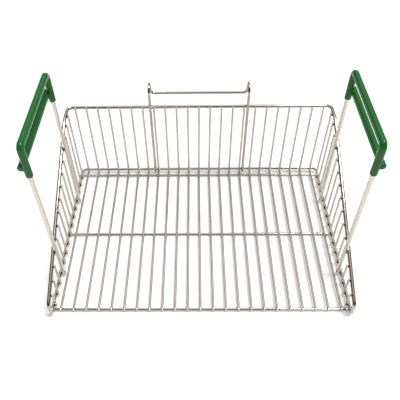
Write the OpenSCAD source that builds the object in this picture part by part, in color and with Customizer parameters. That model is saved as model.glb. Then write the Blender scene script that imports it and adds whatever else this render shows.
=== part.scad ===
// Welded stainless wire dipping basket with an open front, two fixed coated lifting handles
// and a hanger hook at the back. Every piece is bent from round rod.
// The origin is on the floor, at the centre of the overall outline. The open front faces -Y.

/* [Basket] */
// Outer width over the base rod
basket_w = 598.4; // [500:0.1:760]
// Outer depth of the base, from the front cross wire to the back bar
basket_l = 399.2; // [340:0.1:520]
// Height of the top of the rim above the floor, at the back
basket_h = 209.5; // [160:0.1:260]
// Height at which the sloping rim turns down at the front
front_h = 36.9; // [32:0.1:80]
// Length of the level part of the rim along each side, from the back wires
level_l = 38; // [30:0.5:80]

/* [Rods] */
// Diameter of the basket wires and the side uprights
wire_d = 4.76; // [4:0.01:6]
// Diameter of the base rod and the cross wires
ring_d = 6.35; // [5:0.01:8]
// Diameter of the rim rod
rim_d = 7.94; // [6:0.01:10]
// Depth to which touching rods are fused together at a weld
weld_sink = 0.1; // [0.05:0.01:0.15]

/* [Basket wires] */
// Number of L-shaped wires across the basket
wire_count = 23; // [15:1:27]
// Gap between the centres of the outermost basket wire and the side uprights
side_gap = 11.2; // [9:0.1:20]
// Bend radius of each basket wire at the back corner, on its centre line
wire_bend_r = 4; // [3.5:0.1:5]
// Length of each basket wire past the front cross wire
wire_overhang = 1.5; // [0:0.1:3]

/* [Side walls] */
// Number of uprights on each side, with the two handle legs among them
upright_count = 15; // [13:1:17]
// Gap between the centres of the front cross wire and the first upright
front_gap = 7.3; // [6:0.1:14]
// Gap between the centres of the back wires and the last upright
back_gap = 25.4; // [20:0.1:32]
// Place of the front handle leg among the uprights, counted from the front
front_leg_place = 4; // [3:1:5]
// Place of the rear handle leg among the uprights, counted from the front
rear_leg_place = 12; // [10:1:12]

/* [Bends] */
// Corner radius of the rim and the base rod at the back
back_corner_r = 11.5; // [10:0.5:20]
// Bend radius where the rim starts to slope
slope_bend_r = 30; // [20:1:40]
// Bend radius where the rim turns down at the front
front_bend_r = 10; // [8:0.5:14]

/* [Cross wires] */
// Distance of the rear cross wire in front of the back wires
rear_cross = 11.5; // [10.5:0.1:20]
// Distance of the middle cross wire in front of the back wires
middle_cross = 199; // [160:0.5:230]
// Gap between the centres of the front cross wire and the front ends of the rim
rim_gap = 10.5; // [8:0.1:12]

/* [Handles] */
// Height of the top of each grip above the floor
handle_h = 374.7; // [320:0.1:440]
// Diameter of the bent handle rod
handle_d = 8.73; // [6:0.01:10]
// Diameter of the straight finger bar
bar_d = 8.73; // [6:0.01:10]
// Thickness of the dipped coating
coating_t = 2.38; // [1.5:0.01:3]
// Bend radius of the handle rod at the ends of the grip
grip_bend_r = 9; // [8:0.5:16]
// Distance of the finger bar below the grip
bar_drop = 44.5; // [40:0.5:60]
// Length of the finger bar past the centre of the front handle leg
bar_front_end = 3.3; // [3:0.1:8]
// Length of the finger bar past the centre of the rear handle leg
bar_rear_end = 7.9; // [3:0.1:12]
// Rounding at the two ends of the coated finger bar
bar_end_r = 3; // [2:0.1:3.1]
// Length of the coating down the front leg below the finger bar
front_coating_drop = 21.6; // [15:0.1:40]
// Length of the coating down the rear leg below the finger bar
rear_coating_drop = 17.5; // [15:0.1:40]
// Rounding at the lower ends of the coating
coating_lip_r = 2; // [1:0.1:2.3]

/* [Hanger] */
// Distance between the centres of the two hanger legs
hanger_w = 219; // [212:0.5:222]
// Diameter of the hanger rod
hanger_d = 6.35; // [5:0.01:8]
// Clear width inside each hook
hook_gap = 25.4; // [20:0.1:34]
// Height of the top of the hooks above the rim's top
hook_rise = 52.8; // [44:0.1:80]
// Distance of the hanger's back bar below the top of the hooks
hook_depth = 33.2; // [28:0.1:40]
// Bend radius where the hooks turn into the back bar
hook_corner_r = 9; // [7:0.5:12]

/* [Hidden] */
function number(i) = str(i < 9 ? "0" : "", i + 1);
function is_leg(k) = k == front_leg_place - 1 || k == rear_leg_place - 1;
UPRIGHTS = [for (k = [0:upright_count - 1]) if (!is_leg(k)) k];

$fn = 48;
steel = [0.78, 0.76, 0.72];
green = [0.16, 0.5, 0.26];

// A rod swells slightly where it is bent, and its straight lengths reach into the bends.
bend_swell = 0.02;
bend_lap = 0.2;

wire_r = wire_d / 2;
ring_r = ring_d / 2;
rim_r = rim_d / 2;
handle_r = handle_d / 2;
bar_r = bar_d / 2;
hanger_r = hanger_d / 2;

// Heights of the centre lines above the floor. The cross wires lie on the floor,
// and the base rod and the basket wires lie on the cross wires.
cross_z = ring_r;
ring_z = ring_d + ring_r - weld_sink;
wire_z = ring_d + wire_r - weld_sink;
lower_end_z = ring_d - weld_sink;
rim_z = basket_h - rim_r;

// Depths are counted from the centre plane of the back wires, and widths from the middle.
// The back bar of the base rod touches the outside of the wires' bends.
ring_back_y = sqrt(pow(wire_bend_r + wire_r + ring_r - weld_sink, 2)
    - pow(wire_z + wire_bend_r - ring_z, 2)) - wire_bend_r;
front_cross_y = ring_back_y + ring_d - basket_l;
ring_x = basket_w / 2 - ring_r;
upright_x = ring_x - ring_r - wire_r + weld_sink;
rim_x = upright_x + wire_r + rim_r - weld_sink;
rim_back_y = wire_r + rim_r - weld_sink;
wire_pitch = 2 * (upright_x - side_gap) / (wire_count - 1);
first_upright_y = front_cross_y + front_gap;
upright_pitch = (-back_gap - first_upright_y) / (upright_count - 1);

// The two front ends of the base rod butt against the back of the rim's turned-down ends.
rim_front_y = front_cross_y - rim_gap;
base_end_y = rim_front_y + rim_r - weld_sink;
rim_slope = (rim_z - front_h) / (-level_l - rim_front_y);
rim_slope_angle = atan(rim_slope);

// The handle legs and the hanger legs touch the inside of the rim.
handle_x = rim_x - rim_r - handle_r + weld_sink;
front_leg_y = upright_y(front_leg_place - 1);
rear_leg_y = upright_y(rear_leg_place - 1);
grip_z = handle_h - handle_r - coating_t;
bar_x = handle_x + handle_r + bar_r - weld_sink;
bar_z = grip_z - bar_drop;
front_coating_z = bar_z - front_coating_drop;
rear_coating_z = bar_z - rear_coating_drop;
hanger_y = rim_back_y - rim_r - hanger_r + weld_sink;
hook_r = (hook_gap + hanger_d) / 2;
hook_y = hanger_y + 2 * hook_r;
hook_top_z = basket_h + hook_rise - hanger_r;
hook_bar_z = hook_top_z - hook_depth;

// Moves the back wires' plane so that the overall outline is centred on the origin.
shift_y = -(rim_front_y - rim_r + hook_y + hanger_r) / 2;

function upright_y(k) = first_upright_y + k * upright_pitch;
function rim_z_at(y) = y > -level_l ? rim_z : rim_z + (y + level_l) * rim_slope;
function unit(v) = v / norm(v);
function heading(p, i) = unit(p[i + 1] - p[i]);
function bend_angle(p, i) = acos(heading(p, i - 1) * heading(p, i));
function bend_axis(p, i) = unit(cross(heading(p, i - 1), heading(p, i)));
function trim(p, r, i) = r[i] == 0 ? 0 : r[i] * tan(bend_angle(p, i) / 2);
function roll(p, i) = i > len(p) - 3 ? 0 : atan2(
    cross(bend_axis(p, i), bend_axis(p, i + 1)) * heading(p, i),
    bend_axis(p, i) * bend_axis(p, i + 1)
);

// Straight round bar between two points.
module bar(a, b, d) {
    v = b - a;
    translate(a) rotate([0, acos(v[2] / norm(v)), atan2(v[1], v[0])]) cylinder(d = d, h = norm(v));
}

// Round rod of diameter d along points p, bent to radius r[i] at point i.
// The first and last radius are zero.
module rod(p, d, r) {
    y = bend_axis(p, 1);
    z = heading(p, 0);
    x = cross(y, z);
    translate(p[0]) multmatrix([[x[0], y[0], z[0], 0], [x[1], y[1], z[1], 0], [x[2], y[2], z[2], 0]])
        length_and_bend(p, d, r, 0);
}

// The straight length after point i, the bend that follows it, and the rest of the rod from there.
module length_and_bend(p, d, r, i) {
    h = norm(p[i + 1] - p[i]) - trim(p, r, i) - trim(p, r, i + 1);
    low = i == 0 ? 0 : bend_lap;
    high = i == len(p) - 2 ? 0 : bend_lap;
    bend = r[i + 1];
    translate([0, 0, -low]) cylinder(d = d, h = h + low + high);
    if (i < len(p) - 2) translate([bend, 0, h]) {
        rotate([90, 0, 180]) rotate_extrude(angle = bend_angle(p, i + 1))
            translate([bend, 0]) circle(d = d + 2 * bend_swell);
        rotate([0, bend_angle(p, i + 1), 0]) translate([-bend, 0, 0])
            rotate([0, 0, roll(p, i + 1)]) length_and_bend(p, d, r, i + 1);
    }
}

// Puts a piece into the part's frame.
module placed() translate([0, shift_y, 0]) children();

// One rod: level round the back, sloping down each side and turned down in front. Its two ends
// are cut off level with the middle of the base rod.
module rim_rod() color(steel) placed() rod(
    [
        [-rim_x, rim_front_y, ring_z],
        [-rim_x, rim_front_y, front_h],
        [-rim_x, -level_l, rim_z],
        [-rim_x, rim_back_y, rim_z],
        [rim_x, rim_back_y, rim_z],
        [rim_x, -level_l, rim_z],
        [rim_x, rim_front_y, front_h],
        [rim_x, rim_front_y, ring_z]
    ],
    rim_d,
    [0, front_bend_r, slope_bend_r, back_corner_r, back_corner_r, slope_bend_r, front_bend_r, 0]
);

// U-shaped rod on the cross wires, round the sides and the back, open at the front.
module base_rod() color(steel) placed() rod(
    [
        [-ring_x, base_end_y, ring_z],
        [-ring_x, ring_back_y, ring_z],
        [ring_x, ring_back_y, ring_z],
        [ring_x, base_end_y, ring_z]
    ],
    ring_d,
    [0, back_corner_r, back_corner_r, 0]
);

// Straight wire on the floor, from one outer side of the base rod to the other.
module cross_wire(y) color(steel) placed()
    bar([-ring_x - ring_r, y, cross_z], [ring_x + ring_r, y, cross_z], ring_d);

module rear_cross_wire() cross_wire(-rear_cross);
module middle_cross_wire() cross_wire(-middle_cross);
module front_cross_wire() cross_wire(front_cross_y);

// L-shaped wire: down the back wall and forward over the floor, just past the front cross wire.
module basket_wire(i) {
    x = (i - (wire_count - 1) / 2) * wire_pitch;
    color(steel) placed() rod(
        [
            [x, 0, basket_h],
            [x, 0, wire_z],
            [x, front_cross_y - ring_r - wire_overhang, wire_z]
        ],
        wire_d,
        [0, wire_bend_r, 0]
    );
}

// The same upright on both sides, cut off level with the top of the rim.
module side_upright_pair(k) {
    y = upright_y(k);
    top = rim_z_at(y) + rim_r / (y > -level_l ? 1 : cos(rim_slope_angle));
    for (side = [-1, 1]) color(steel) placed()
        bar([side * upright_x, y, lower_end_z], [side * upright_x, y, top], wire_d);
}

// Up the front leg from height front_z, along the grip and down the rear leg to height rear_z.
module handle_bends(side, front_z, rear_z, d) rod(
    [
        [side * handle_x, front_leg_y, front_z],
        [side * handle_x, front_leg_y, grip_z],
        [side * handle_x, rear_leg_y, grip_z],
        [side * handle_x, rear_leg_y, rear_z]
    ],
    d,
    [0, grip_bend_r, grip_bend_r, 0]
);

// The finger bar, with a length more than its own at each end.
module finger_rod(side, more, d) bar(
    [side * bar_x, front_leg_y - bar_front_end - more, bar_z],
    [side * bar_x, rear_leg_y + bar_rear_end + more, bar_z],
    d
);

// End of a coated length of radius r with a rounded edge, from its flat face upwards.
module rounded_end(r, edge) {
    cylinder(r = r - edge, h = 2 * edge);
    translate([0, 0, edge]) rotate_extrude() translate([r - edge, 0]) circle(edge);
}

module handle_rod(side) color(steel) placed() handle_bends(side, lower_end_z, lower_end_z, handle_d);
module finger_bar(side) color(steel) placed() finger_rod(side, 0, bar_d);

// One dip covers the grip, the upper legs and the whole finger bar.
module grip_coating(side) {
    leg_r = handle_r + coating_t;
    end_r = bar_r + coating_t;
    color(green) placed() difference() {
        union() {
            handle_bends(side, front_coating_z + coating_lip_r, rear_coating_z + coating_lip_r, 2 * leg_r);
            translate([side * handle_x, front_leg_y, front_coating_z]) rounded_end(leg_r, coating_lip_r);
            translate([side * handle_x, rear_leg_y, rear_coating_z]) rounded_end(leg_r, coating_lip_r);
            finger_rod(side, coating_t - bar_end_r, 2 * end_r);
            translate([side * bar_x, front_leg_y - bar_front_end - coating_t, bar_z])
                rotate([-90, 0, 0]) rounded_end(end_r, bar_end_r);
            translate([side * bar_x, rear_leg_y + bar_rear_end + coating_t, bar_z])
                rotate([90, 0, 0]) rounded_end(end_r, bar_end_r);
        }
        handle_bends(side, front_coating_z - 1, rear_coating_z - 1, handle_d);
        finger_rod(side, 0, bar_d);
    }
}

module left_handle_rod() handle_rod(-1);
module right_handle_rod() handle_rod(1);
module left_finger_bar() finger_bar(-1);
module right_finger_bar() finger_bar(1);
module left_grip_coating() grip_coating(-1);
module right_grip_coating() grip_coating(1);

// Two hooks and their back bar in one rod. Each hook is a half circle over the top.
module hanger_hook() color(steel) placed() rod(
    [
        [-hanger_w / 2, hanger_y, lower_end_z],
        [-hanger_w / 2, hanger_y, hook_top_z],
        [-hanger_w / 2, hook_y, hook_top_z],
        [-hanger_w / 2, hook_y, hook_bar_z],
        [hanger_w / 2, hook_y, hook_bar_z],
        [hanger_w / 2, hook_y, hook_top_z],
        [hanger_w / 2, hanger_y, hook_top_z],
        [hanger_w / 2, hanger_y, lower_end_z]
    ],
    hanger_d,
    [0, hook_r, hook_r, hook_corner_r, hook_corner_r, hook_r, hook_r, 0]
);

rim_rod();
base_rod();
rear_cross_wire();
middle_cross_wire();
front_cross_wire();
for (i = [0:wire_count - 1])
    basket_wire(i);
for (k = UPRIGHTS)
    side_upright_pair(k);
left_handle_rod();
right_handle_rod();
left_finger_bar();
right_finger_bar();
left_grip_coating();
right_grip_coating();
hanger_hook();
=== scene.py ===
import math

import bmesh
import bpy
from mathutils import Matrix, Vector, kdtree, noise


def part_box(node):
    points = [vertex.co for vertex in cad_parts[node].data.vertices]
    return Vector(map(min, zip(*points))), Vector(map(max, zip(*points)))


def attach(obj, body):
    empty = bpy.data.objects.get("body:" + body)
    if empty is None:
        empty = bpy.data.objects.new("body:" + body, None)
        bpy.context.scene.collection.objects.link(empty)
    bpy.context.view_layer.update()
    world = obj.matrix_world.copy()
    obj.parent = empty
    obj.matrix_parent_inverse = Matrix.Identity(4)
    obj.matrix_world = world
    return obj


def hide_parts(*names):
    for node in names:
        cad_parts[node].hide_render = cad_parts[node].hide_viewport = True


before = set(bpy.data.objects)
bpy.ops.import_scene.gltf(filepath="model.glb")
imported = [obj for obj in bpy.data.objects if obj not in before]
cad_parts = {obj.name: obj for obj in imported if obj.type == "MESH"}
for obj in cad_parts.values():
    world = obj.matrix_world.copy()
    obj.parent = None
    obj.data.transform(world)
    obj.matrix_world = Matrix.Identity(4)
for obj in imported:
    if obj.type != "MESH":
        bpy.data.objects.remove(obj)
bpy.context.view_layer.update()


# ---- Base rod --------------------------------------------------------------------------------
# Quarter-inch stainless rod, bent to a U round the back and both sides of the floor. It lies on
# the three cross wires, and its two front ends are welded to the front ends of the rim.

BASE_ROD = 0.00635
BASE_BEND = 0.0115
BASE_END_WELD = 0.0034
BOTH_SIDES = (-1, 1)
ACROSS, BACKWARD, UPWARD = Vector((1, 0, 0)), Vector((0, 1, 0)), Vector((0, 0, 1))

# How finely a rod is divided round it, along it and in its bends, and how its ends are cut.
ROD_SIDES = 24
ROD_STEP = 0.004
BEND_STEP = math.radians(7.5)
BEND_LEAST_STEPS = 3
CUT_CHAMFER = 0.00035
SAME_PLACE = 1e-6
NEARLY_UPRIGHT = 0.1


def bent_line(points, bends):
    """Centre line of a rod along points, bent to bends[i] at point i, as closely spaced points."""
    points = [Vector(p) for p in points]
    line = [points[0]]

    def straight_to(end):
        start = line[-1]
        count = max(1, math.ceil((end - start).length / ROD_STEP))
        if (end - start).length > SAME_PLACE:
            line.extend(start.lerp(end, k / count) for k in range(1, count + 1))

    for before, corner, after, bend in zip(points, points[1:], points[2:], bends[1:]):
        into, out = (corner - before).normalized(), (after - corner).normalized()
        turn = into.angle(out)
        start = corner - into * bend * math.tan(turn / 2)
        centre = corner + (out - into).normalized() * bend / math.cos(turn / 2)
        straight_to(start)
        count = max(BEND_LEAST_STEPS, math.ceil(turn / BEND_STEP))
        axis = into.cross(out)
        for k in range(1, count + 1):
            line.append(centre + Matrix.Rotation(turn * k / count, 3, axis) @ (start - centre))
    straight_to(points[-1])
    return line


def placed_object(name, bm):
    """The finished mesh as an object of the scene."""
    mesh = bpy.data.meshes.new(name)
    bm.to_mesh(mesh)
    bm.free()
    made_object = bpy.data.objects.new(name, mesh)
    bpy.context.scene.collection.objects.link(made_object)
    return made_object


def rod_mesh(name, line, diameter, thickness=None):
    """Round rod swept along a centre line, with chamfered cut ends."""
    bm = bmesh.new()
    along = bm.loops.layers.uv.new("along")
    length, run = [0.0], 0.0
    for a, b in zip(line, line[1:]):
        run += (b - a).length
        length.append(run)
    rings, side = [], None
    for k, at in enumerate(line):
        way = Vector((0, 0, 0))
        if k:
            way += (at - line[k - 1]).normalized()
        if k < len(line) - 1:
            way += (line[k + 1] - at).normalized()
        way.normalize()
        if side is None:
            side = way.orthogonal().normalized()
            down = Vector((0, 0, -1)) - way * way.dot(Vector((0, 0, -1)))
            side = down.normalized() if down.length > NEARLY_UPRIGHT else side
        else:
            side = (side - way * side.dot(way)).normalized()
        radius = diameter / 2
        if thickness:
            radius = thickness(length[k], run)
        rings.append((at, way, side.copy(), radius, length[k]))
    first, last = rings[0], rings[-1]
    chamfer = CUT_CHAMFER
    rings[0] = (first[0] + first[1] * chamfer, *first[1:])
    rings[-1] = (last[0] - last[1] * chamfer, *last[1:])
    rings.insert(0, (first[0], first[1], first[2], first[3] - chamfer, first[4]))
    rings.append((last[0], last[1], last[2], last[3] - chamfer, last[4]))
    made = []
    for at, way, side, radius, _ in rings:
        up = way.cross(side)
        made.append([
            bm.verts.new(at + radius * (
                math.cos(2 * math.pi * s / ROD_SIDES) * side
                + math.sin(2 * math.pi * s / ROD_SIDES) * up
            ))
            for s in range(ROD_SIDES)
        ])
    for a, b in zip(range(len(made)), range(1, len(made))):
        for s in range(ROD_SIDES):
            t = (s + 1) % ROD_SIDES
            face = bm.faces.new((made[a][s], made[a][t], made[b][t], made[b][s]))
            face.smooth = True
            for loop, (around, away) in zip(face.loops, (
                (s, rings[a][4]), (s + 1, rings[a][4]), (s + 1, rings[b][4]), (s, rings[b][4])
            )):
                loop[along].uv = (around / ROD_SIDES, away)
    for ring, turn in ((made[0], -1), (made[-1], 1)):
        cap = bm.faces.new(ring[::turn])
        cap.material_index = 1
        for loop in cap.loops:
            loop[along].uv = (0.5, loop.vert.co.x + loop.vert.co.y)
    return placed_object(name, bm)


def shaded(name):
    """A new material, its nodes and links, and its shader joined to the output."""
    material = bpy.data.materials.new(name)
    material.use_nodes = True
    nodes, links = material.node_tree.nodes, material.node_tree.links
    nodes.clear()
    output = nodes.new("ShaderNodeOutputMaterial")
    shader = nodes.new("ShaderNodeBsdfPrincipled")
    links.new(shader.outputs["BSDF"], output.inputs["Surface"])
    return material, nodes, links, shader


def mottling(nodes, links, where, scale, detail):
    """Strength of a noise of one size over the surface."""
    texture = nodes.new("ShaderNodeTexNoise")
    texture.inputs["Scale"].default_value = scale
    texture.inputs["Detail"].default_value = detail
    links.new(where, texture.inputs["Vector"])
    return texture.outputs["Fac"]


def two_tone(nodes, links, first, second, share):
    """A colour that goes from the first to the second with the given strength."""
    tone = nodes.new("ShaderNodeMix")
    tone.data_type = "RGBA"
    tone.inputs["A"].default_value = (*first, 1)
    tone.inputs["B"].default_value = (*second, 1)
    links.new(share, tone.inputs["Factor"])
    return tone.outputs["Result"]


def relief(nodes, links, shader, height, strength, depth):
    """Raises the surface by a small depth where the given strength is high."""
    bump = nodes.new("ShaderNodeBump")
    bump.inputs["Strength"].default_value = strength
    bump.inputs["Distance"].default_value = depth
    links.new(height, bump.inputs["Height"])
    links.new(bump.outputs["Normal"], shader.inputs["Normal"])


# Drawing lines round and along the rod, the clouding, and the tints and dulling by a weld.
LINE_SCALE = (26.0, 60.0, 1.0)
LINE_DETAIL = 3.0
LINE_RELIEF = 0.05
LINE_DEPTH = 0.0002
CLOUD_SCALE = 55.0
CLOUD_DETAIL = 4.0
STRAW_HEAT = 0.45
STRAW_TINT = (0.86, 0.78, 0.66, 1)
BROWN_TINT = (0.14, 0.11, 0.09, 1)
HEAT_DULLING = 0.25


def drawn_steel(name, colour, shade, polish, dullness):
    """Bright drawn stainless: fine lines along the rod, soft clouding, and tint by the welds."""
    material, nodes, links, shader = shaded(name)
    shader.inputs["Metallic"].default_value = 1.0

    place = nodes.new("ShaderNodeTexCoord")
    lines_at = nodes.new("ShaderNodeUVMap")
    lines_at.uv_map = "along"
    stretch = nodes.new("ShaderNodeMapping")
    stretch.inputs["Scale"].default_value = LINE_SCALE
    links.new(lines_at.outputs["UV"], stretch.inputs["Vector"])
    lines = mottling(nodes, links, stretch.outputs["Vector"], 1.0, LINE_DETAIL)
    clouds = mottling(nodes, links, place.outputs["Object"], CLOUD_SCALE, CLOUD_DETAIL)
    tone = two_tone(nodes, links, colour, shade, clouds)

    heat = nodes.new("ShaderNodeAttribute")
    heat.attribute_name = "heat"

    tint = nodes.new("ShaderNodeValToRGB")
    tint.color_ramp.elements[0].position = 0.0
    tint.color_ramp.elements[0].color = (1, 1, 1, 1)
    tint.color_ramp.elements[1].position = 1.0
    tint.color_ramp.elements[1].color = BROWN_TINT
    straw = tint.color_ramp.elements.new(STRAW_HEAT)
    straw.color = STRAW_TINT
    links.new(heat.outputs["Fac"], tint.inputs["Fac"])
    tinted = nodes.new("ShaderNodeMix")
    tinted.data_type = "RGBA"
    tinted.blend_type = "MULTIPLY"
    tinted.inputs["Factor"].default_value = 1.0
    links.new(tone, tinted.inputs["A"])
    links.new(tint.outputs["Color"], tinted.inputs["B"])
    links.new(tinted.outputs["Result"], shader.inputs["Base Color"])

    dull = nodes.new("ShaderNodeMapRange")
    dull.inputs["To Min"].default_value = polish
    dull.inputs["To Max"].default_value = dullness
    links.new(lines, dull.inputs["Value"])
    duller = nodes.new("ShaderNodeMath")
    duller.operation = "MULTIPLY_ADD"
    duller.inputs[1].default_value = HEAT_DULLING
    links.new(heat.outputs["Fac"], duller.inputs[0])
    links.new(dull.outputs["Result"], duller.inputs[2])
    links.new(duller.outputs["Value"], shader.inputs["Roughness"])
    relief(nodes, links, shader, lines, LINE_RELIEF, LINE_DEPTH)
    return material


def weld(places, x, y, z, facing, size):
    """Notes a weld nugget at a place, flattened along the way that it faces."""
    places.append((Vector((x, y, z)), facing, size))


def fit(piece, finishes, *nodes):
    """The piece gets its finishes, stands for its CAD nodes and belongs to the welded basket."""
    piece.data.materials.clear()
    for finish in finishes:
        piece.data.materials.append(finish)
    if nodes:
        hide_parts(*nodes)
    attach(piece, "root")


rods = []
welds = []
burnt_welds_painted_shade = []
# Cut ends: a rougher ground finish, and a base colour far lighter than the rods' steel that paints
# the bright highlight the cut faces catch.
ground_ends_painted_highlight = drawn_steel(
    "ground_steel_ends_painted_highlight",
    colour=(0.90, 0.88, 0.85), shade=(0.82, 0.79, 0.75),
    polish=0.34, dullness=0.46,
)
frame_steel = drawn_steel(
    "frame_rod_steel",
    colour=(0.52, 0.475, 0.42), shade=(0.44, 0.40, 0.35),
    polish=0.08, dullness=0.14,
)

low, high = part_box("base_rod")
base_z = (high[2] + low[2]) / 2
base_x = high[0] - BASE_ROD / 2
base_front, base_back = low[1], high[1] - BASE_ROD / 2
base = rod_mesh(
    "base_bar",
    bent_line(
        [
            (-base_x, base_front, base_z),
            (-base_x, base_back, base_z),
            (base_x, base_back, base_z),
            (base_x, base_front, base_z),
        ],
        [0, BASE_BEND, BASE_BEND, 0],
    ),
    BASE_ROD,
)
fit(base, (frame_steel, ground_ends_painted_highlight), "base_rod")
rods.append(base)
for side in BOTH_SIDES:
    weld(welds, side * base_x, base_front, base_z, BACKWARD, BASE_END_WELD)


# ---- Cross wires -----------------------------------------------------------------------------
# Three straight quarter-inch wires under the floor, cut to the width of the base rod and
# welded under its sides. The basket stands on them.

CROSS_WELD = 0.0026

cross_ys = []
for place in ("rear", "middle", "front"):
    low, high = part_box(place + "_cross_wire")
    cross_y, cross_z, cross_d = (low[1] + high[1]) / 2, (low[2] + high[2]) / 2, high[2] - low[2]
    cross = rod_mesh(
        "cross_bar_" + place,
        bent_line([(low[0], cross_y, cross_z), (high[0], cross_y, cross_z)], [0, 0]),
        cross_d,
    )
    fit(cross, (frame_steel, ground_ends_painted_highlight), place + "_cross_wire")
    rods.append(cross)
    cross_ys.append(cross_y)
    for side in BOTH_SIDES:
        weld(welds, side * base_x, cross_y, high[2], UPWARD, CROSS_WELD)
cross_top = high[2]


# ---- Basket wires ----------------------------------------------------------------------------
# L-shaped three-sixteenth wires an inch apart. Each runs down the back wall and forward over
# the cross wires, is spot-welded at every crossing and ends just past the front cross wire.

BASKET_BEND = 0.004
WIRE_WELD = 0.0021
WIRE_BASE_WELD = 0.0020
wire_steel = drawn_steel(
    "basket_wire_steel",
    colour=(0.60, 0.56, 0.505), shade=(0.49, 0.455, 0.405),
    polish=0.12, dullness=0.24,
)

basket_nodes = sorted(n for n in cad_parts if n.startswith("basket_wire_"))
wire_xs = []
for node in basket_nodes:
    low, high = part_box(node)
    x, wire_d = (low[0] + high[0]) / 2, high[0] - low[0]
    wire_y, wire_z = high[1] - wire_d / 2, low[2] + wire_d / 2
    wire = rod_mesh(
        node.replace("wire", "bar"),
        bent_line(
            [(x, wire_y, high[2]), (x, wire_y, wire_z), (x, low[1], wire_z)],
            [0, BASKET_BEND, 0],
        ),
        wire_d,
    )
    fit(wire, (wire_steel, ground_ends_painted_highlight), node)
    rods.append(wire)
    wire_xs.append(x)
    for cross_y in cross_ys:
        weld(welds, x, cross_y, cross_top, UPWARD, WIRE_WELD)
    weld(welds, x, base_back - BASE_ROD / 2, base_z, BACKWARD, WIRE_BASE_WELD)


# ---- Side uprights ---------------------------------------------------------------------------
# Straight three-sixteenth wires inside the base rod and the rim, an inch apart on each side.
# They are sheared off and ground level with the top of the rim.

LEFT_AND_RIGHT = (("left", -1), ("right", 1))
UPRIGHT_WELD = 0.0037
UPRIGHT_WELD_RISE = 0.0012

upright_nodes = sorted(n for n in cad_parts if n.startswith("side_upright_pair_"))
upright_ys = []
for node in upright_nodes:
    low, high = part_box(node)
    y, upright_d = (low[1] + high[1]) / 2, high[1] - low[1]
    x = high[0] - upright_d / 2
    upright_ys.append(y)
    number = node[-2:]
    pair = [
        rod_mesh(
            "upright_bar_%s_%s" % (number, word),
            bent_line([(side * x, y, high[2]), (side * x, y, low[2])], [0, 0]),
            upright_d,
        )
        for word, side in LEFT_AND_RIGHT
    ]
    for upright in pair:
        fit(upright, (wire_steel, ground_ends_painted_highlight), node)
        rods.append(upright)
    outside = x + upright_d / 2
    for side in BOTH_SIDES:
        weld(burnt_welds_painted_shade, side * outside, y, base_z + UPRIGHT_WELD_RISE, ACROSS, UPRIGHT_WELD)


# ---- Rim -------------------------------------------------------------------------------------
# One five-sixteenth rod. It is level round the back, slopes down along each side, and is
# turned down at each front corner, where it ends level with the middle of the base rod.

RIM_ROD = 0.00794
RIM_BACK_BEND = 0.0115
RIM_SLOPE_BEND = 0.030
RIM_FRONT_BEND = 0.010
RIM_LEVEL = 0.038
RIM_FRONT_HEIGHT = 0.0369
RIM_WIRE_WELD = 0.0021
RIM_UPRIGHT_WELD = 0.0033

low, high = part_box("rim_rod")
rim_x, rim_z = high[0] - RIM_ROD / 2, high[2] - RIM_ROD / 2
rim_back, rim_front, rim_end = high[1] - RIM_ROD / 2, low[1] + RIM_ROD / 2, low[2]
rim = rod_mesh(
    "rim_bar",
    bent_line(
        [
            (-rim_x, rim_front, rim_end),
            (-rim_x, rim_front, RIM_FRONT_HEIGHT),
            (-rim_x, wire_y - RIM_LEVEL, rim_z),
            (-rim_x, rim_back, rim_z),
            (rim_x, rim_back, rim_z),
            (rim_x, wire_y - RIM_LEVEL, rim_z),
            (rim_x, rim_front, RIM_FRONT_HEIGHT),
            (rim_x, rim_front, rim_end),
        ],
        [
            0, RIM_FRONT_BEND, RIM_SLOPE_BEND, RIM_BACK_BEND,
            RIM_BACK_BEND, RIM_SLOPE_BEND, RIM_FRONT_BEND, 0,
        ],
    ),
    RIM_ROD,
)
fit(rim, (frame_steel, ground_ends_painted_highlight), "rim_rod")
rods.append(rim)
rim_slope = (rim_z - RIM_FRONT_HEIGHT) / (wire_y - RIM_LEVEL - rim_front)


def rim_height(y):
    """Height of the rim's centre line beside a point on a side wall."""
    return min(rim_z, rim_z + (y - wire_y + RIM_LEVEL) * rim_slope)


rim_inside = rim_x - RIM_ROD / 2
for x in wire_xs:
    weld(welds, x, rim_back - RIM_ROD / 2, rim_z, BACKWARD, RIM_WIRE_WELD)
for y in upright_ys:
    for side in BOTH_SIDES:
        weld(burnt_welds_painted_shade, side * rim_inside, y, rim_height(y), ACROSS, RIM_UPRIGHT_WELD)


# ---- Handles ---------------------------------------------------------------------------------
# Two fixed U-shaped round rods, welded inside the rim and the base rod, each with a
# straight finger bar of the same rod welded across the outer side of its legs.

HANDLE_ROD = 0.00873
GRIP_BEND = 0.009
LEG_RIM_WELD = 0.0034
LEG_BASE_WELD = 0.0040
handle_steel = drawn_steel(
    "handle_rod_steel",
    colour=(0.66, 0.62, 0.57), shade=(0.57, 0.53, 0.48),
    polish=0.14, dullness=0.24,
)

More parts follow.
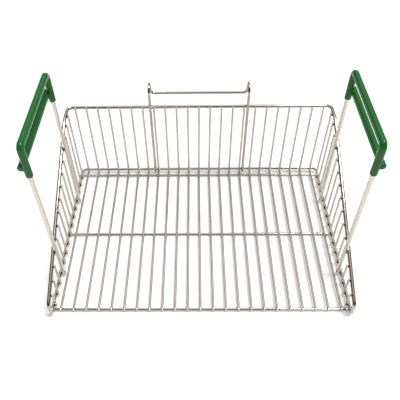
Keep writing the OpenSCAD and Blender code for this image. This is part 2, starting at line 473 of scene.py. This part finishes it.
base_inside = base_x - BASE_ROD / 2
grips = {}
for word, side in LEFT_AND_RIGHT:
    low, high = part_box(word + "_handle_rod")
    handle_x = side * (abs(low[0] + high[0]) / 2)
    front_leg, rear_leg = low[1] + HANDLE_ROD / 2, high[1] - HANDLE_ROD / 2
    grip_z = high[2] - HANDLE_ROD / 2
    handle = rod_mesh(
        "handle_bar_" + word,
        bent_line(
            [
                (handle_x, front_leg, low[2]),
                (handle_x, front_leg, grip_z),
                (handle_x, rear_leg, grip_z),
                (handle_x, rear_leg, low[2]),
            ],
            [0, GRIP_BEND, GRIP_BEND, 0],
        ),
        HANDLE_ROD,
    )
    fit(handle, (handle_steel, ground_ends_painted_highlight), word + "_handle_rod")
    rods.append(handle)
    low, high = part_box(word + "_finger_bar")
    bar_x, bar_z, bar_d = (low[0] + high[0]) / 2, (low[2] + high[2]) / 2, high[2] - low[2]
    finger = rod_mesh(
        "finger_rod_" + word,
        bent_line([(bar_x, low[1], bar_z), (bar_x, high[1], bar_z)], [0, 0]),
        bar_d,
    )
    fit(finger, (handle_steel, ground_ends_painted_highlight), word + "_finger_bar")
    grips[word] = (handle_x, front_leg, rear_leg, grip_z, bar_x, bar_z, low[1], high[1])
    for y in (front_leg, rear_leg):
        weld(welds, side * rim_inside, y, rim_height(y), ACROSS, LEG_RIM_WELD)
        weld(burnt_welds_painted_shade, side * base_inside, y, base_z, ACROSS, LEG_BASE_WELD)


# ---- Grip coatings ---------------------------------------------------------------------------
# Glossy green vinyl. Each handle is dipped once, so the skin covers the grip, the finger bar
# and the top of both legs, fills the corners where the bar crosses, and ends in a soft lip.

COAT = 0.00238
COAT_LIP = 0.0020
BAR_END_ROUND = 0.0030
FRONT_COAT_DROP = 0.0216
REAR_COAT_DROP = 0.0175
LIP_STEP = 10
SKIN_GRAIN = 0.0007
SKIN_SMOOTHING = 0.5
SKIN_SMOOTHING_ROUNDS = 6

# The vinyl's gloss, its two depths of green and its orange peel.
VINYL_ROUGHNESS = 0.08
VINYL_GLOSS = 0.28
DEEP_GREEN = (0.0083, 0.120, 0.0200)
PALE_GREEN = (0.0103, 0.148, 0.0250)
DEPTH_SCALE = 18.0
DEPTH_DETAIL = 3.0
PEEL_SCALE = 420.0
PEEL_DETAIL = 2.0
PEEL_RELIEF = 0.10
PEEL_DEPTH = 0.0003


def dipped_vinyl():
    """Thick glossy green skin with a faint orange-peel surface and a slow change of depth."""
    material, nodes, links, shader = shaded("dipped_green_vinyl")
    shader.inputs["Roughness"].default_value = VINYL_ROUGHNESS
    shader.inputs["Specular IOR Level"].default_value = VINYL_GLOSS
    place = nodes.new("ShaderNodeTexCoord")
    depth = mottling(nodes, links, place.outputs["Object"], DEPTH_SCALE, DEPTH_DETAIL)
    green = two_tone(nodes, links, DEEP_GREEN, PALE_GREEN, depth)
    links.new(green, shader.inputs["Base Color"])
    peel = mottling(nodes, links, place.outputs["Object"], PEEL_SCALE, PEEL_DETAIL)
    relief(nodes, links, shader, peel, PEEL_RELIEF, PEEL_DEPTH)
    return material


def skin_radius(full, rounding):
    """Radius of a skin at each place along its rod, rounded over at both ends."""
    def radius(run, total):
        from_end = min(run, total - run)
        if from_end >= rounding:
            return full
        return full - rounding + math.sqrt(rounding ** 2 - (rounding - from_end) ** 2)
    return radius


def with_round_ends(line, reach):
    """The same line with extra points near both ends, for a smooth rounding."""
    start_way, end_way = (line[1] - line[0]).normalized(), (line[-2] - line[-1]).normalized()
    near = [reach * (1 - math.cos(math.radians(a))) for a in range(0, 91, LIP_STEP)]
    middle = [p for p in line if (p - line[0]).length > reach and (p - line[-1]).length > reach]
    return (
        [line[0] + start_way * s for s in near]
        + middle
        + [line[-1] + end_way * s for s in reversed(near)]
    )


vinyl = dipped_vinyl()
for word, side in LEFT_AND_RIGHT:
    handle_x, front_leg, rear_leg, grip_z, bar_x, bar_z, bar_front, bar_back = grips[word]
    front_end, rear_end = bar_z - FRONT_COAT_DROP, bar_z - REAR_COAT_DROP
    skin_line = bent_line(
        [
            (handle_x, front_leg, front_end),
            (handle_x, front_leg, grip_z),
            (handle_x, rear_leg, grip_z),
            (handle_x, rear_leg, rear_end),
        ],
        [0, GRIP_BEND, GRIP_BEND, 0],
    )
    bar_line = bent_line(
        [(bar_x, bar_front - COAT, bar_z), (bar_x, bar_back + COAT, bar_z)], [0, 0]
    )
    skin = rod_mesh(
        "grip_skin_" + word,
        with_round_ends(skin_line, COAT_LIP),
        HANDLE_ROD,
        thickness=skin_radius(HANDLE_ROD / 2 + COAT, COAT_LIP),
    )
    bar_cover = rod_mesh(
        "bar_skin_" + word,
        with_round_ends(bar_line, BAR_END_ROUND),
        bar_d,
        thickness=skin_radius(bar_d / 2 + COAT, BAR_END_ROUND),
    )
    with bpy.context.temp_override(
        active_object=skin, object=skin, selected_editable_objects=[skin, bar_cover],
        selected_objects=[skin, bar_cover],
    ):
        bpy.ops.object.join()
    remesh = skin.modifiers.new("one_skin", "REMESH")
    remesh.mode = "VOXEL"
    remesh.voxel_size = SKIN_GRAIN
    remesh.use_smooth_shade = True
    smooth = skin.modifiers.new("run_together", "SMOOTH")
    smooth.factor = SKIN_SMOOTHING
    smooth.iterations = SKIN_SMOOTHING_ROUNDS
    fit(skin, (vinyl,), word + "_grip_coating")


# ---- Hanger ----------------------------------------------------------------------------------
# One quarter-inch rod. Its legs are welded inside the rim and the base rod, and it is bent over
# the rim into two hooks with a straight back bar between them.

HANGER_ROD = 0.00635
HOOK_CORNER_BEND = 0.009
HOOK_BAR_DROP = 0.0332
HANGER_WELD = 0.0028

low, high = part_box("hanger_hook")
hanger_x = high[0] - HANGER_ROD / 2
leg_y, hook_y = low[1] + HANGER_ROD / 2, high[1] - HANGER_ROD / 2
hook_bend = (hook_y - leg_y) / 2
hook_top = high[2] - HANGER_ROD / 2
hook_bar = hook_top - HOOK_BAR_DROP
hanger = rod_mesh(
    "hanger_rod",
    bent_line(
        [
            (-hanger_x, leg_y, low[2]),
            (-hanger_x, leg_y, hook_top),
            (-hanger_x, hook_y, hook_top),
            (-hanger_x, hook_y, hook_bar),
            (hanger_x, hook_y, hook_bar),
            (hanger_x, hook_y, hook_top),
            (hanger_x, leg_y, hook_top),
            (hanger_x, leg_y, low[2]),
        ],
        [
            0, hook_bend, hook_bend, HOOK_CORNER_BEND,
            HOOK_CORNER_BEND, hook_bend, hook_bend, 0,
        ],
    ),
    HANGER_ROD,
)
fit(hanger, (frame_steel, ground_ends_painted_highlight), "hanger_hook")
rods.append(hanger)
for side in BOTH_SIDES:
    weld(welds, side * hanger_x, rim_back - RIM_ROD / 2, rim_z, BACKWARD, HANGER_WELD)
    weld(welds, side * hanger_x, base_back - BASE_ROD / 2, base_z, BACKWARD, HANGER_WELD)


# ---- Welds -----------------------------------------------------------------------------------
# A small squashed nugget of melted steel fills the corner at every crossing. Along the side walls
# the nuggets are near black, partly burnt steel and partly painted shade of the crevices between
# the rods. The heat leaves a darker, duller patch on the rods close to it.

HEAT_REACH = 0.0065
HEAT_FALL = 1.5
NUGGET_DIVISIONS = 3
NUGGET_FLATNESS = 0.36
NUGGET_UNEVENNESS = 0.16
NUGGET_GRAIN = 1.7
NUGGET_VARIETY = 900


def nuggets(name, places):
    """One mesh of weld nuggets, each a slightly uneven lens between two rods."""
    bm = bmesh.new()
    bm.loops.layers.uv.new("along")
    for place, normal, size in places:
        turn = UPWARD.rotation_difference(normal).to_matrix()
        ball = bmesh.ops.create_icosphere(bm, subdivisions=NUGGET_DIVISIONS, radius=1.0)
        for vertex in ball["verts"]:
            lumps = noise.noise(vertex.co * NUGGET_GRAIN + place * NUGGET_VARIETY)
            uneven = 1 + NUGGET_UNEVENNESS * lumps
            flat = Vector((vertex.co.x, vertex.co.y, vertex.co.z * NUGGET_FLATNESS))
            vertex.co = place + turn @ (flat * size * uneven)
    for face in bm.faces:
        face.smooth = True
    return placed_object(name, bm)


weld_steel = drawn_steel(
    "weld_steel",
    colour=(0.34, 0.30, 0.26), shade=(0.22, 0.19, 0.16),
    polish=0.30, dullness=0.45,
)
# Near-black colour: burnt steel, and painted shade for the dark crevices where the side uprights
# and handle legs meet the rim and the base rod.
burnt_steel_painted_shade = drawn_steel(
    "burnt_weld_painted_shade_steel",
    colour=(0.030, 0.020, 0.014), shade=(0.012, 0.008, 0.006),
    polish=0.55, dullness=0.75,
)
beads = nuggets("weld_nuggets", welds)
fit(beads, (weld_steel,))
# Near-black nuggets at the side walls, partly burnt steel and partly painted crevice shade.
burnt_beads_painted_shade = nuggets("side_weld_nuggets_painted_shade", burnt_welds_painted_shade)
fit(burnt_beads_painted_shade, (burnt_steel_painted_shade,))
welds += burnt_welds_painted_shade

near_weld = kdtree.KDTree(len(welds))
for k, (place, _, _) in enumerate(welds):
    near_weld.insert(place, k)
near_weld.balance()
for rod in rods:
    heat = rod.data.attributes.new("heat", "FLOAT", "POINT")
    for k, vertex in enumerate(rod.data.vertices):
        away = near_weld.find(vertex.co)[2]
        heat.data[k].value = max(0.0, 1 - away / HEAT_REACH) ** HEAT_FALL


# ---- Floor, light and camera -----------------------------------------------------------------
# A white table top with a faint glow, one soft lamp high on the right, and surroundings that
# are pale overhead and turn dark and warm towards the horizon.

FLOOR_SIZE = 30
TABLE_WHITE = (0.80, 0.80, 0.80, 1)
TABLE_ROUGHNESS = 0.9
TABLE_GLOW = 0.27
LAMP_STRENGTH = 2.1
LAMP_SPREAD = math.radians(18)
LAMP_WAY = Vector((-0.33, -0.02, -1))
ROOM_STRENGTH = 1.9
ROOM_TOP = Vector((0.05, 0.30, 0.95)).normalized()
ROOM_LOW = (0.46, (0.045, 0.036, 0.028, 1))
ROOM_HIGH = (0.94, (0.84, 0.84, 0.84, 1))
ROOM_BETWEEN = (
    (0.66, (0.10, 0.09, 0.08, 1)),
    (0.78, (0.44, 0.43, 0.42, 1)),
    (0.88, (0.58, 0.57, 0.56, 1)),
)

bpy.ops.mesh.primitive_plane_add(size=FLOOR_SIZE, location=(0, 0, 0))
floor = bpy.context.object
floor.name = "floor"
white = bpy.data.materials.new("table_white")
white.use_nodes = True
table = white.node_tree.nodes["Principled BSDF"]
table.inputs["Base Color"].default_value = TABLE_WHITE
table.inputs["Roughness"].default_value = TABLE_ROUGHNESS
table.inputs["Emission Color"].default_value = (1, 1, 1, 1)
table.inputs["Emission Strength"].default_value = TABLE_GLOW
floor.data.materials.append(white)

lamp = bpy.data.lights.new("soft_lamp", "SUN")
lamp.energy = LAMP_STRENGTH
lamp.angle = LAMP_SPREAD
lamp_object = bpy.data.objects.new("soft_lamp", lamp)
lamp_object.rotation_euler = LAMP_WAY.to_track_quat("-Z", "Y").to_euler()
bpy.context.scene.collection.objects.link(lamp_object)

world = bpy.data.worlds.new("pale_room")
world.use_nodes = True
bpy.context.scene.world = world
nodes, links = world.node_tree.nodes, world.node_tree.links
nodes.clear()
output = nodes.new("ShaderNodeOutputWorld")
background = nodes.new("ShaderNodeBackground")
background.inputs["Strength"].default_value = ROOM_STRENGTH
place = nodes.new("ShaderNodeTexCoord")
from_light = nodes.new("ShaderNodeVectorMath")
from_light.operation = "DOT_PRODUCT"
from_light.inputs[1].default_value = ROOM_TOP
ramp = nodes.new("ShaderNodeValToRGB")
for end, (position, colour) in zip(ramp.color_ramp.elements, (ROOM_LOW, ROOM_HIGH)):
    end.position = position
    end.color = colour
for position, colour in ROOM_BETWEEN:
    ramp.color_ramp.elements.new(position).color = colour
links.new(place.outputs["Generated"], from_light.inputs[0])
links.new(from_light.outputs["Value"], ramp.inputs["Fac"])
links.new(ramp.outputs["Color"], background.inputs["Color"])
links.new(background.outputs["Background"], output.inputs["Surface"])

# The camera's place is measured from the plane of the back wires and the middle of the floor
# wires, which lie this far behind the origin and above the floor.
BACK_WIRES_AT = 0.18415
FLOOR_WIRES_AT = 0.00873
CAMERA_AT = Vector((-0.0083, -0.8843 + BACK_WIRES_AT, 0.8862 + FLOOR_WIRES_AT))
YAW, PITCH, ROLL = (math.radians(a) for a in (1.36, 46.48, -1.30))
SENSOR_WIDTH = 36
LENS_LENGTH = 44.388
SHIFT_ACROSS, SHIFT_UP = 0.031, -0.0435
NEAREST_SEEN = 0.01

level = Vector((-math.sin(YAW), math.cos(YAW), 0))
across = Vector((math.cos(YAW), math.sin(YAW), 0))
look = level * math.cos(PITCH) - UPWARD * math.sin(PITCH)
below = -level * math.sin(PITCH) - UPWARD * math.cos(PITCH)
right = across * math.cos(ROLL) - below * math.sin(ROLL)
down = across * math.sin(ROLL) + below * math.cos(ROLL)
lens = bpy.data.cameras.new("camera")
lens.sensor_width = SENSOR_WIDTH
lens.lens = LENS_LENGTH
lens.shift_x = SHIFT_ACROSS
lens.shift_y = SHIFT_UP
lens.clip_start = NEAREST_SEEN
camera = bpy.data.objects.new("camera", lens)
camera.matrix_world = Matrix((
    (right.x, -down.x, -look.x, CAMERA_AT.x),
    (right.y, -down.y, -look.y, CAMERA_AT.y),
    (right.z, -down.z, -look.z, CAMERA_AT.z),
    (0, 0, 0, 1),
))
bpy.context.scene.collection.objects.link(camera)
bpy.context.scene.camera = camera
bpy.context.scene.view_settings.view_transform = "Standard"
